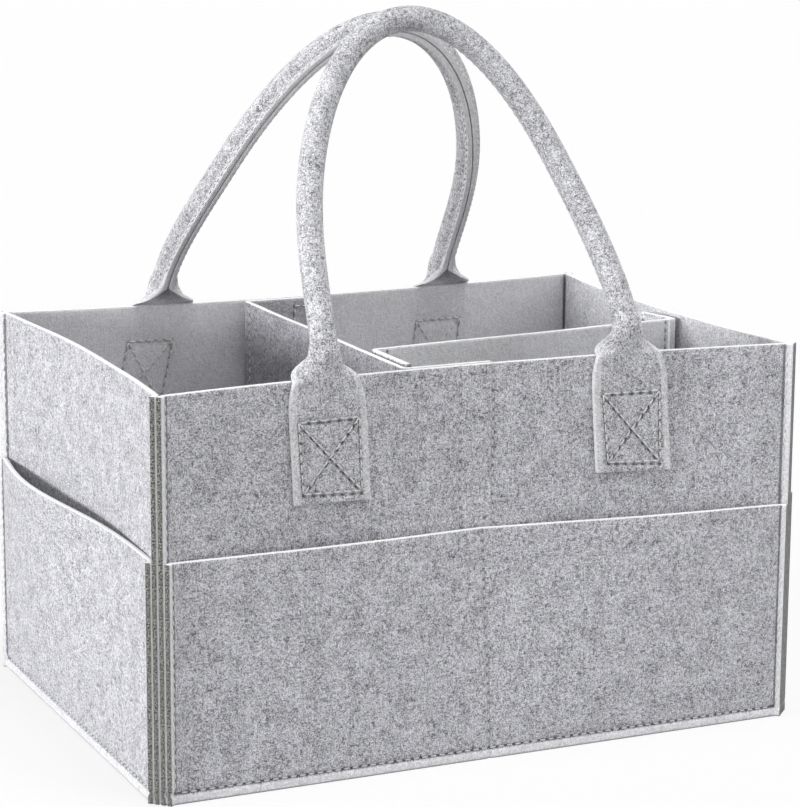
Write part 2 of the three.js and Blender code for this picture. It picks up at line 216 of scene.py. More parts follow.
def spread(tree, value, low=0.0, high=1.0, to_low=0.0, to_high=1.0):
    """A value mapped from one range to another, and kept in it."""
    inputs = {"Value": value, "From Min": low, "From Max": high, "To Min": to_low, "To Max": to_high}
    return add(tree, "MapRange", inputs).outputs[0]


def combined(tree, operation, *values):
    """Values joined one after the other by the same sum."""
    total = values[0]
    for value in values[1:]:
        total = add(tree, "Math", {0: total, 1: value}, operation=operation).outputs[0]
    return total


def unsigned(tree, value):
    return add(tree, "Math", {0: value}, operation="ABSOLUTE").outputs[0]


def mixed(tree, share, first, second):
    """Two colours mixed by a share, each a socket or three values."""
    first, second = ((*c, 1) if isinstance(c, tuple) else c for c in (first, second))
    return add(tree, "Mix", {0: share, 6: first, 7: second}, data_type="RGBA").outputs[2]


def hairs(tree, flat, turn, scale, width):
    """Thin curved fibres lying one way: the zero lines of a stretched noise."""
    drawn = add(tree, "Mapping", {"Vector": flat, "Rotation": (0, 0, turn), "Scale": (1, 0.45, 1)})
    settings = {"Vector": drawn.outputs[0], "Scale": scale, "Detail": 2.0, "Distortion": 0.7}
    noise = add(tree, "TexNoise", settings).outputs[0]
    return spread(tree, unsigned(tree, combined(tree, "SUBTRACT", noise, 0.5)), 0.0, width, 1.0, 0.0)


def sewn_marks(tree, flat, rows):
    """Where thread draws the felt in, from 0 to 1, for rows given by their flat ends: a narrow
    shadow along each row, darkest at the holes."""
    marks = []
    for start, end in rows:
        start, end = Vector((*start, 0)), Vector((*end, 0))
        length = (end - start).length
        ahead = (end - start) / length
        aside = Vector((-ahead.y, ahead.x, 0))
        local = add(tree, "VectorMath", {0: flat, 1: start}, operation="SUBTRACT").outputs[0]
        along, across = (
            add(tree, "VectorMath", {0: local, 1: way}, operation="DOT_PRODUCT").outputs["Value"]
            for way in (ahead, aside)
        )
        pitch = length / max(1, int(length / STITCH_PITCH))
        from_hole = combined(tree, "PINGPONG", combined(tree, "DIVIDE", along, pitch), 0.5)
        beyond = unsigned(tree, combined(tree, "SUBTRACT", along, length / 2))
        marks.append(combined(
            tree, "MULTIPLY",
            spread(tree, unsigned(tree, across), MARK_CORE, MARK_REACH, 1.0, 0.0),
            spread(tree, from_hole, *HOLE_FADE_SHARES, 1.0, BETWEEN_HOLES_SHARE),
            spread(tree, beyond, length / 2, length / 2 + MARK_REACH, 1.0, 0.0),
        ))
    return combined(tree, "MAXIMUM", 0.0, *marks)


def new_material(name):
    material = bpy.data.materials.new(name)
    material.use_nodes = True
    return material, material.node_tree


def surfaced(tree, colour, height, strength, depth, settings):
    """The surface's colour, its relief, and the other settings of it."""
    surface = tree.nodes["Principled BSDF"]
    tree.links.new(colour, surface.inputs["Base Color"])
    bump = add(tree, "Bump", {"Height": height, "Strength": strength, "Distance": depth})
    tree.links.new(bump.outputs[0], surface.inputs["Normal"])
    for socket, value in settings.items():
        surface.inputs[socket].default_value = value


def marled_felt(
    name, pale, dark, rows=(), mark_share=0.5, highlight_past=None, inner_share=INNER_PAINTED_LIGHT_SHARE,
):
    """Needled felt of pale and dark grey fibres: blotches, fine specks, tufts and single hairs.
    rows are the flat ends of rows of stitches, whose painted shadow is mark_share deep. Past a flat
    distance from the middle, highlight_past, the edges get a painted highlight. inner_share is how
    much painted light pales the inner face."""
    material, tree = new_material(name)
    flat = add(tree, "UVMap", uv_map="flat").outputs[0]
    noise = {}
    for kind, scale, detail in (
        ("blotch", 90, 3.0), ("tuft", 270, 2.0), ("clump", 480, 2.0), ("speck", 1250, 2.0),
    ):
        settings = {"Vector": flat, "Scale": scale, "Detail": detail, "Roughness": 0.62}
        noise[kind] = add(tree, "TexNoise", settings).outputs[0]
    light_hair = hairs(tree, flat, 1.3, 240, 0.02)
    darkness = combined(
        tree, "ADD",
        spread(tree, noise["blotch"], 0.35, 0.65, -0.16, 0.05),
        spread(tree, noise["tuft"], 0.58, 0.70, 0.0, 0.30),
        spread(tree, noise["clump"], 0.36, 0.64, 0.0, 0.36),
        spread(tree, noise["speck"], 0.39, 0.61, 0.0, 0.64),
        spread(tree, hairs(tree, flat, 0.5, 210, 0.025), to_high=0.22),
        spread(tree, hairs(tree, flat, 2.1, 260, 0.022), to_high=0.22),
        spread(tree, light_hair, to_high=-0.30),
    )
    body = mixed(tree, spread(tree, darkness), pale, dark)

    # The inner face, whose flat places are shifted, is painted paler than the outer one: painted light,
    # for the light that reaches inside
    aside = add(tree, "SeparateXYZ", {0: flat}).outputs[0]
    body = mixed(tree, spread(tree, aside, *INNER_FACE_FROM, 0.0, inner_share), body, PAINTED_LIGHT_FELT)
    # Painted highlight along the edges, where the felt catches the light
    if highlight_past:
        margin = (highlight_past, highlight_past + MARK_REACH)
        pressed_and_highlight = spread(tree, unsigned(tree, aside), *margin, 0.0, 0.35)
        body = mixed(tree, pressed_and_highlight, body, PAINTED_LIGHT_FELT)

    # At a seam, painted light and shade: painted shade in the crease, a painted highlight on the
    # allowance beyond it, where the turned faces catch the light, and a painted contact shadow along the
    # bottom cut, where it meets the table
    past = add(tree, "Attribute", attribute_name="past_seam").outputs["Fac"]
    body = mixed(tree, spread(tree, past, HIGHLIGHT_FROM, HIGHLIGHT_AT, 0.0, 0.5), body, PAINTED_LIGHT_FELT)
    crease = spread(tree, unsigned(tree, past), MARK_CORE, MARK_REACH, 0.7, 0.0)
    contact_shadow = spread(tree, past, CONTACT_SHADOW_PAST, BASE_ALLOWANCE, 0.0, 0.85)
    body = mixed(tree, combined(tree, "MAXIMUM", crease, contact_shadow), body, PAINTED_SHADE_FELT)

    # A raw cut (above zero) shows the dark ends of the fibres, and a rim below zero is painted white:
    # partly its pale fluffy fibres, partly a painted highlight from the light above
    raw_cut = add(tree, "Attribute", attribute_name="raw_cut").outputs["Fac"]
    ends = spread(tree, noise["speck"], 0.44, 0.60)
    cut = mixed(tree, ends, (0.02, 0.02, 0.018), (0.31, 0.31, 0.285))
    colour = mixed(tree, spread(tree, raw_cut), body, cut)
    colour = mixed(tree, spread(tree, raw_cut, -1.0, 0.0, 1.0, 0.0), colour, (1.0, 1.0, 1.0))
    if rows:
        marks = combined(tree, "MULTIPLY", sewn_marks(tree, flat, rows), mark_share)
        colour = mixed(tree, marks, colour, THREAD_SHADOW)
    light_pile = spread(tree, light_hair, to_high=0.25)
    pile = combined(tree, "ADD", noise["speck"], noise["clump"], light_pile)
    surfaced(tree, colour, pile, 0.4, PILE_DEPTH, {
        "Roughness": 0.95, "Specular IOR Level": 0.2, "Sheen Weight": 0.2, "Sheen Roughness": 0.6,
    })
    return material


WALL_PALE = (0.80, 0.80, 0.845)
WALL_DARK = (0.115, 0.115, 0.128)
base_sag = BASE_ALLOWANCE - WALL[1]


def base_sag_at(x, y):
    inside = np.minimum(HALF_LENGTH - np.abs(x), HALF_DEPTH - np.abs(y))
    return base_sag * eased(inside / BASE_SAG_RUN)


def on_base(u, v, d):
    w = WALL[0] + d
    at_fold = -w * math.tan((math.pi / 2 - BASE_TURN) / 2)
    at_end = (BASE_ALLOWANCE * math.sin(BASE_TURN) - w) / math.cos(BASE_TURN)
    past_x = turned(np.abs(u), HALF_LENGTH, at_fold, at_end, BASE_ALLOWANCE)
    past_y = turned(np.abs(v), HALF_DEPTH, at_fold, at_end, BASE_ALLOWANCE)
    steepest = np.maximum(past_x, past_y)
    down = softer(w, (w + steepest * math.cos(BASE_TURN)) / math.sin(BASE_TURN), CREASE / 2)
    down = np.minimum(down, BASE_ALLOWANCE)
    x = np.sign(u) * (HALF_LENGTH + past_x)
    y = np.sign(v) * (HALF_DEPTH + past_y)
    return x, y, BASE_ALLOWANCE - down - base_sag_at(u, v)


base_length = INSIDE_LENGTH + 2 * BASE_ALLOWANCE
base_depth = INSIDE_DEPTH + 2 * BASE_ALLOWANCE
bottom = closed_sheet(
    "bottom_panel_felt",
    stations(-base_length / 2, base_length / 2, BASE_STEP),
    stations(-base_depth / 2, base_depth / 2, BASE_STEP),
    on_base, raw=(1, 1, 1, 1),
)
bottom.data.materials.append(marled_felt("base_felt", WALL_PALE, WALL_DARK))
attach(bottom, "shell")
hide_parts("bottom_panel")

# Walls. Four panels of the same felt, cut with an allowance, turned out at 45 degrees at the
# corners and sewn face to face, so that two raw cuts stand side by side down each corner. Soft as
# they are, they bow inwards between the corners, fully from about three quarters of their height.
HEIGHT = 0.199
CORNER_ALLOWANCE = 0.006
CORNER_TURN = math.pi / 4
FRONT_BOW = 0.012
BACK_BOW = 0.0125
LEFT_BOW = 0.005
RIGHT_BOW = 0.008
BOW_HEIGHT = 0.150
RIPPLE = 0.0005
WAVE_LENGTHS = (0.019, 0.027)
SLANT_WAVE_LENGTHS = (0.034, 0.041)
SLANT_WAVE_SHARE = 0.6
CALM_HEIGHT = 0.05
CALM_REACH = 0.03
PANEL_STEP = 0.003
FINE_STEP = 0.002
SEAM_GROOVE = 0.0009
SEAM_GROOVE_WIDTH = 0.0011
BOX_DENT = 0.0008
BOX_DENT_WIDTH = 0.0028
TAPE_WIDTH = 0.022
TAPE_LENGTH = 0.100
TAPE_TOP = 0.1965
TAPE_INSET = 0.002
FRONT_TAPE_PLACE = -0.0012
RIGHT_TAPE_PLACE = -0.008
FOOT_SPACING = 0.168
FOOT_LENGTH = 0.060
HINGE_GAP = 0.0006
BOX_BOTTOM = 0.0046
BOX_TOP = 0.0406
BOX_SLOPE = -0.04
# More painted light on the back wall's inner face, which lies in shade behind the front wall and the
# cross divider
BACK_INNER_PAINTED_LIGHT_SHARE = 0.6

# side: half length, ripple phase, and the middle of its tape, where the felt lies calm
WALL_SIDES = {
    "front": (HALF_LENGTH, 0.0, FRONT_TAPE_PLACE),
    "back": (HALF_LENGTH, 1.7, FRONT_TAPE_PLACE),
    "left_end": (HALF_DEPTH, 3.1, None),
    "right_end": (HALF_DEPTH, 4.4, RIGHT_TAPE_PLACE),
}
# side and hand of a handle's foot: how far it is shifted at the rim and at its end, and its sewn
# box's middle, half width at the top and half width at the bottom
FEET = {
    ("front", -1): (-0.0006, 0.0026, 0.0, 0.0164, 0.0158),
    ("front", 1): (-0.0027, 0.0012, 0.0002, 0.0158, 0.0145),
    ("back", -1): (-0.0008, -0.0135, -0.0040, 0.0128, 0.0128),
    ("back", 1): (0.0020, -0.0060, -0.0005, 0.0142, 0.0142),
}


def bow_at(depth, place, half, z):
    return depth * np.maximum(0, 1 - (place / half) ** 2) * eased(z / BOW_HEIGHT)


def ripple(side, s, z):
    """The slight waves of soft felt, none along the seams and the tape."""
    half, phase, calm = WALL_SIDES[side]
    across, up = WAVE_LENGTHS
    waves = np.sin(s / across + phase) * np.cos(z / up + 2 * phase)
    across, up = SLANT_WAVE_LENGTHS
    waves = waves + SLANT_WAVE_SHARE * np.sin(s / across - z / up + 3 * phase)
    held = (1 - np.clip(np.abs(s) / half, 0, 1) ** 6) * eased(z / CALM_HEIGHT)
    if calm is not None:
        held = held * (1 - np.exp(-(((s - calm) / CALM_REACH) ** 4)))
    return RIPPLE * waves * held


def on_side(side, s, out, z):
    """A point by its place along a wall, its distance outside the seam plane and its height."""
    out = out + ripple(side, s, z)
    x, y = {
        "front": (s, -(HALF_DEPTH + out)),
        "back": (s, HALF_DEPTH + out),
        "left_end": (-(HALF_LENGTH + out), s),
        "right_end": (HALF_LENGTH + out, s),
    }[side]
    in_y = np.where(y < 0, 1, -1) * bow_at(np.where(y < 0, FRONT_BOW, BACK_BOW), x, HALF_LENGTH, z)
    in_x = np.where(x < 0, 1, -1) * bow_at(np.where(x < 0, LEFT_BOW, RIGHT_BOW), y, HALF_DEPTH, z)
    return x + in_x, y + in_y, z


def no_gape(s, z):
    return 0 * s


def on_panel(side, u, v, w, top, drop=0.0, gape=no_gape):
    """A point of a side panel, by its flat place and its depth outside the seam planes."""
    half = WALL_SIDES[side][0]
    corner_end = (CORNER_ALLOWANCE - w) * math.sin(CORNER_TURN)
    corner_fold = -w * math.tan(CORNER_TURN / 2)
    past = turned(np.abs(u), half, corner_fold, corner_end, CORNER_ALLOWANCE)
    down = turned(-v, -BASE_ALLOWANCE, -w * math.tan(BASE_TURN / 2), BASE_ALLOWANCE, BASE_ALLOWANCE)
    out = softer(w, (w + past * math.sin(CORNER_TURN)) / math.cos(CORNER_TURN))
    out = softer(out, (w + down * math.sin(BASE_TURN)) / math.cos(BASE_TURN))
    s = np.sign(u) * (half + past)
    dropped_share = (drop / top) * np.clip((u + half) / (2 * half), 0, 1)
    z = (BASE_ALLOWANCE - down) * (1 - dropped_share)
    return on_side(side, s, out + gape(s, z), z)


def groove(distance, width=SEAM_GROOVE_WIDTH):
    return np.exp(-((distance / width) ** 2))


def from_row(x, y, start, end):
    """How far flat places lie from a row of stitches, and how far along it they are."""
    start, end = np.array(start), np.array(end)
    length = np.linalg.norm(end - start)
    ahead = (end - start) / length
    along = np.clip((x - start[0]) * ahead[0] + (y - start[1]) * ahead[1], 0, length)
    apart = np.hypot(x - start[0] - along * ahead[0], y - start[1] - along * ahead[1])
    return apart, along, length


def foot_shift(side, hand, from_end):
    """How far along the wall the middle of a foot is shifted, for one hand or for an array."""
    at_rim, at_end = (
        np.where(hand < 0, left, right) for left, right in zip(FEET[side, -1][:2], FEET[side, 1][:2])
    )
    return at_end + (at_rim - at_end) * np.clip(from_end / FOOT_LENGTH, 0, 1)


def box_rows(side, hand):
    """The sewn box of a foot and its cross, as flat ends from the foot's middle and its end."""
    middle, high_half, low_half = FEET[side, hand][2:]
    corners = [
        (middle - low_half, BOX_BOTTOM - BOX_SLOPE * low_half),
        (middle + low_half, BOX_BOTTOM + BOX_SLOPE * low_half),
        (middle + high_half, BOX_TOP), (middle - high_half, BOX_TOP),
    ]
    around = list(zip(corners, corners[1:] + corners[:1]))
    return around + [(corners[0], corners[2]), (corners[3], corners[1])]


def box_on_wall(side, hand):
    """The same rows as flat places of the wall."""
    def on_wall(x, y):
        s = hand * FOOT_SPACING / 2 + x + float(foot_shift(side, hand, y))
        return s, HEIGHT - HINGE_GAP / 2 - FOOT_LENGTH + y

    return [(on_wall(*start), on_wall(*end)) for start, end in box_rows(side, hand)]


def tape_rows(middle):
    """The stitches round a tape, as flat places of its wall."""
    x, top = TAPE_WIDTH / 2 - TAPE_INSET, TAPE_TOP - TAPE_INSET
    low = TAPE_TOP - TAPE_LENGTH + TAPE_INSET
    corners = [(middle - x, low), (middle + x, low), (middle + x, top), (middle - x, top)]
    return list(zip(corners, corners[1:] + corners[:1]))


def side_panel(name, side, top, outer, upright, dented=(), step=PANEL_STEP, **form):
    """A wall or a pocket, from its flat cut. upright are the places of the upright rows that draw
    its outer face in, and dented are rows that dent its inner face."""
    half = WALL_SIDES[side][0]
    folds = (-half, half, *upright)
    across = stations(-half - CORNER_ALLOWANCE, half + CORNER_ALLOWANCE, step, folds)
    along = stations(0, top, step, (BASE_ALLOWANCE,))

    def place(u, v, d):
        inner_share = d / FELT
        pressed_and_highlight = groove(v - BASE_ALLOWANCE)
        for line in upright:
            pressed_and_highlight = np.maximum(pressed_and_highlight, groove(u - line))
        dent = np.zeros(len(u))
        for start, end in dented:
            dent = np.maximum(dent, groove(from_row(u, v, start, end)[0], BOX_DENT_WIDTH))
        w = outer - d - SEAM_GROOVE * pressed_and_highlight * (1 - inner_share) + BOX_DENT * dent * inner_share
        return on_panel(side, u, v, w, top, **form)

    def past_seam(u, v):
        past_corner = (np.abs(u) - half) * CONTACT_SHADOW_PAST / CORNER_ALLOWANCE
        return np.maximum(past_corner, BASE_ALLOWANCE - v)

    # The top cut is painted white: partly its pale fibres, partly a painted highlight
    return closed_sheet(name, across, along, place, raw=(1, 1, 1, -1), past_seam=past_seam)


def on_inner_face(rows):
    """Flat rows as they lie on the inner face, whose flat places are shifted."""
    across, up = INNER_FACE_SHIFT
    return [tuple((x + across, y + up) for x, y in row) for row in rows]


for side, (half, _, tape_place) in WALL_SIDES.items():
    around_tape = [] if tape_place is None else tape_rows(tape_place)
    tape_lines = [x for row in around_tape[:1] for x, _ in row]
    # Inside, the thread lies in the pile, and only the round of each box shows
    boxes = [row for hand in (-1, 1) if (side, hand) in FEET for row in box_on_wall(side, hand)[:4]]
    wall = side_panel(
        f"{side}_wall_felt", side, HEIGHT, WALL[1], upright=tape_lines, dented=boxes,
        step=FINE_STEP if boxes else PANEL_STEP,
    )
    rows = around_tape + on_inner_face(boxes)
    inner_share = BACK_INNER_PAINTED_LIGHT_SHARE if side == "back" else INNER_PAINTED_LIGHT_SHARE
    felt = marled_felt(f"{side}_wall_felt", WALL_PALE, WALL_DARK, rows, inner_share=inner_share)
    wall.data.materials.append(felt)
    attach(wall, "shell")
    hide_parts(f"{side}_wall")

# Pockets. Four lower panels of the felt, sewn in at the same corner and bottom seams and left
# open at the top, where they stand off the walls. A row of stitches down the middle of each long
# one makes two mouths. The front one was cut a little lower at its right end.
POCKET_HEIGHT = 0.119
FRONT_POCKET_DROP = 0.0045
FRONT_POCKET_GAPE = 0.005
BACK_POCKET_GAPE = 0.0085
LEFT_POCKET_GAPE = 0.0105
LEFT_SKEW_POWER = 1.9
RIGHT_POCKET_GAPE = 0.009
RIGHT_SKEW_POWER = 1.3
MOUTH_POWER = 0.8


def mouth(z):
    return np.clip((z - BASE_ALLOWANCE) / (POCKET_HEIGHT - BASE_ALLOWANCE), 0, 1) ** MOUTH_POWER


def two_mouths(gape):
    def stands_off(s, z):
        half_share = np.minimum(1, np.abs(s) / HALF_LENGTH)
        return gape * np.sin(math.pi * half_share) * mouth(z)

    return stands_off


def one_mouth(gape, skew):
    def stands_off(s, z):
        share = np.clip((s + HALF_DEPTH) / INSIDE_DEPTH, 0, 1)
        return gape * np.sin(math.pi * share**skew) * mouth(z)

    return stands_off


pocket_forms = {
    "front": {"gape": two_mouths(FRONT_POCKET_GAPE), "drop": FRONT_POCKET_DROP},
    "back": {"gape": two_mouths(BACK_POCKET_GAPE)},
    "left_end": {"gape": one_mouth(LEFT_POCKET_GAPE, LEFT_SKEW_POWER)},
    "right_end": {"gape": one_mouth(RIGHT_POCKET_GAPE, RIGHT_SKEW_POWER)},
}
for side, form in pocket_forms.items():
    half = WALL_SIDES[side][0]
    centre = [0.0] if half == HALF_LENGTH else []
    rows = [((-half, BASE_ALLOWANCE), (half, BASE_ALLOWANCE))]
    rows += [((place, BASE_ALLOWANCE), (place, POCKET_HEIGHT - CUT_SUPPORT)) for place in centre]
    pocket = side_panel(
        f"{side}_pocket_felt", side, POCKET_HEIGHT, POCKET[1], upright=centre, **form,
    )
    pocket.data.materials.append(marled_felt(f"{side}_pocket_felt", WALL_PALE, WALL_DARK, rows))
    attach(pocket, "shell")
    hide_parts(f"{side}_pocket")

# Seams. Pale spun thread, lockstitched through every layer: down the four corner fins, round the
# bottom seam, and down the middle of the long pockets. Each stitch dips into the felt at its ends.
STITCH_LENGTH = 0.0040
STITCH_PITCH_SHARE = 0.8
THREAD_RADIUS = 0.00042
THREAD_SIDES = 6
# Down a stitch: how far along it, and in radii how high it stands and how thick it is
ALONG_SHARES = np.array([0.0, 0.22, 0.5, 0.78, 1.0])
LIFT_SHARES = np.array([-1.3, 0.35, 0.75, 0.35, -1.3])
GIRTH_SHARES = np.array([0.75, 1, 1.05, 1, 0.75])
THREAD_PALE = (0.80, 0.80, 0.82)
THREAD_DARK = (0.48, 0.48, 0.492)
PLY_DEPTH = 0.0001
LINE_STEP = 0.001
SMALL_STEP = 0.0001
STITCH_INSET = 0.0016
BOTTOM_ROW_INSET = 0.004
POCKET_FIN_ROW = (0.007, 0.112)
WALL_FIN_ROW = (0.121, 0.196)
CENTRE_ROW = (0.009, 0.117)

# The thread is a dull yarn of thin spun polyester, whose plies twist round it
pale_thread, tree = new_material("pale_thread")
place = add(tree, "TexCoord").outputs["Object"]
plies = add(tree, "TexNoise", {"Vector": place, "Scale": 1500.0, "Detail": 2.0}).outputs[0]
colour = mixed(tree, spread(tree, plies, 0.3, 0.7), THREAD_DARK, THREAD_PALE)
surfaced(tree, colour, plies, 0.5, PLY_DEPTH, {"Roughness": 0.7, "Sheen Weight": 0.2})


def row_length(points):
    steps = np.linalg.norm(np.diff(points, axis=0), axis=1)
    return np.concatenate([[0], np.cumsum(steps)])


def at_length(lengths, reached, values):
    """Values at lengths along a line, from those at its points."""
    return np.stack([np.interp(lengths, reached, column) for column in values.T], -1)


def unit(vectors):
    return vectors / np.linalg.norm(vectors, axis=-1, keepdims=True)


def stitches(name, rows, body):
    """Short lengths of thread along rows, each row a pair of points and outward directions."""
    turn = np.arange(THREAD_SIDES)[:, None] * 2 * math.pi / THREAD_SIDES
    tubes = []
    for points, outward in rows:
        reached = row_length(points)
        count = max(1, int(reached[-1] / STITCH_PITCH))
        pitch = reached[-1] / count
        reach = min(STITCH_LENGTH, STITCH_PITCH_SHARE * pitch)
        first = (np.arange(count) + 0.5) * pitch - reach / 2
        at = first[:, None] + reach * ALONG_SHARES
        centre = at_length(at, reached, points)
        normal = unit(at_length(at, reached, outward))
        tangent = unit(centre[:, -1:] - centre[:, :1])
        aside = np.cross(normal, np.broadcast_to(tangent, normal.shape))
        centre = centre + normal * (LIFT_SHARES * THREAD_RADIUS)[:, None]
        round_it = aside[:, :, None] * np.cos(turn) + normal[:, :, None] * np.sin(turn)
        tube = centre[:, :, None] + round_it * (GIRTH_SHARES * THREAD_RADIUS)[:, None, None]
        tubes.append(tube.reshape(-1, 3))
    points = np.concatenate(tubes)
    grid = np.arange(len(points)).reshape(-1, len(ALONG_SHARES), THREAD_SIDES)
    low, high = grid[:, :-1], grid[:, 1:]
    sides = np.stack([low, np.roll(low, -1, 2), np.roll(high, -1, 2), high], -1)
    faces = sides.reshape(-1, 4).tolist() + grid[:, 0, ::-1].tolist() + grid[:, -1].tolist()
    mesh = bpy.data.meshes.new(name)
    mesh.from_pydata(points.tolist(), [], faces)
    mesh.polygons.foreach_set("use_smooth", [True] * len(faces))
    mesh.validate()
    thread = placed(name, mesh)
    thread.data.materials.append(pale_thread)
    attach(thread, body)


def line(*corners):
    """Flat places along a line through the corners."""
    corners = np.array(corners, float)
    pieces = []
    for start, end in zip(corners[:-1], corners[1:]):
        count = max(2, int(np.linalg.norm(end - start) / LINE_STEP))
        pieces.append(start + (end - start) * np.linspace(0, 1, count)[:, None])
    return np.concatenate(pieces).T


def sewn_row(place, depth, way):
    """A row on a surface, from place(depth), with the thread's outward direction."""
    points = np.column_stack(place(depth))
    return points, unit(np.column_stack(place(depth + way * SMALL_STEP)) - points)


def panel_row(side, start, end, outer, **form):
    """A row on the outer face of a side panel, between two flat places."""
    u, v = line(start, end)
    return sewn_row(lambda w: on_panel(side, u, v, w, **form), outer, 1)


corner_rows, bottom_rows, centre_rows = [], [], []
pressed_and_highlight = POCKET[1] - SEAM_GROOVE
for side, form in pocket_forms.items():
    half = WALL_SIDES[side][0]
    form = {"top": POCKET_HEIGHT, **form}
    for u in (-half - STITCH_INSET, half + STITCH_INSET):
        ends = [(u, v) for v in POCKET_FIN_ROW]
        corner_rows.append(panel_row(side, *ends, POCKET[1], **form))
        ends = [(u, v) for v in WALL_FIN_ROW]
        corner_rows.append(panel_row(side, *ends, WALL[1], top=HEIGHT))
    ends = [(u, BASE_ALLOWANCE) for u in (-half + BOTTOM_ROW_INSET, half - BOTTOM_ROW_INSET)]
    bottom_rows.append(panel_row(side, *ends, pressed_and_highlight, **form))
    if half == HALF_LENGTH:
        ends = [(0, v) for v in CENTRE_ROW]
        centre_rows.append(panel_row(side, *ends, pressed_and_highlight, **form))
stitches("corner_stitches", corner_rows, "shell")
stitches("bottom_stitches", bottom_rows, "shell")
stitches("pocket_centre_stitches", centre_rows, "shell")

# Handles. Each is one strip of felt. Its ends lie flat on the wall and are sewn down in a box
# with a cross, the felt narrows at the rim, and between the feet the strip is rolled lengthwise
# and stitched near its raw edges into a tube, which arches up and leans in over the caddy.
STRIP_WIDTH = 0.041
SHOULDER_WIDTH = 0.035
SHOULDER_LENGTH = 0.016
TUBE_STRIP_WIDTH = 0.033
NECK_LENGTH = 0.0140
NECK_POWER = 0.8
NECK_EASE = 0.018
NECK_WIDER_SHARE = 0.22
NECK_TAPER_LENGTH = 0.006
BULGE = 0.0055
BULGE_FADE = 0.10
ROLL_ANGLE = 2.4
ROLL_SHARE = 0.73
# side: outward direction, rise, wall's bow, lean share and straightening share
HANDLES = {
    "front": (-1, 0.166, FRONT_BOW, 0.776, 0.168),
    "back": (1, 0.162, BACK_BOW, 1.037, 0.253),
}
BOX_GROOVE = 0.0009
THREAD_SUNK_SHARE = 0.1
MARK_BELOW = 0.0009
FOOT_SKEW = 0.0012
HANDLE_PALE = (0.80, 0.80, 0.835)
HANDLE_DARK = (0.12, 0.12, 0.132)
# How far in from the strip's cut edges its painted highlight begins
HIGHLIGHT_MARGIN = 0.0038
CLOSE_NECK_SHARE = 1.5
NECK_STEP = 0.0008
TUBE_STEP = 0.0025
ARCH_POINTS = 1441
LEAN_POINTS = 400
ACROSS_POINTS = 44
EDGE_ROW_SHARE = 0.88
TUBE_ROW_POINTS = 500
TUBE_ROW_INSET = 0.004


def roll_angle(share):
    back = (share - ROLL_SHARE) / (1 - ROLL_SHARE)
    rolled = ROLL_ANGLE + (math.pi / 2 - ROLL_ANGLE) * back
    return np.where(share < ROLL_SHARE, ROLL_ANGLE * share / ROLL_SHARE, rolled)


def handle_spine(side):
    """The middle line of the strip from rim to rim, as points by their length along it."""
    outward, rise, bow, lean, straighten = HANDLES[side]
    half_span = FOOT_SPACING / 2
    foot_bow = bow_at(bow, half_span, HALF_LENGTH, HEIGHT)

    def inward(h):
        return lean * (h - NECK_EASE * (1 - np.exp(-h / NECK_EASE))) - straighten * h * h / rise

    turn = np.linspace(0, math.pi, ARCH_POINTS)
    h = rise * np.sin(turn)
    y = outward * (HALF_DEPTH + POCKET[1] - foot_bow - inward(h))
    points = np.column_stack([-half_span * np.cos(turn), y, HEIGHT + HINGE_GAP / 2 + h])
    heights = np.linspace(0, rise, LEAN_POINTS)
    slopes = np.interp(h, heights, np.gradient(inward(heights), heights[1]))
    inner = unit(np.column_stack([0 * h, 0 * h - outward, -slopes]))
    beside = np.cross(inner, unit(np.gradient(points, axis=0)))
    return points, inner, beside, row_length(points)


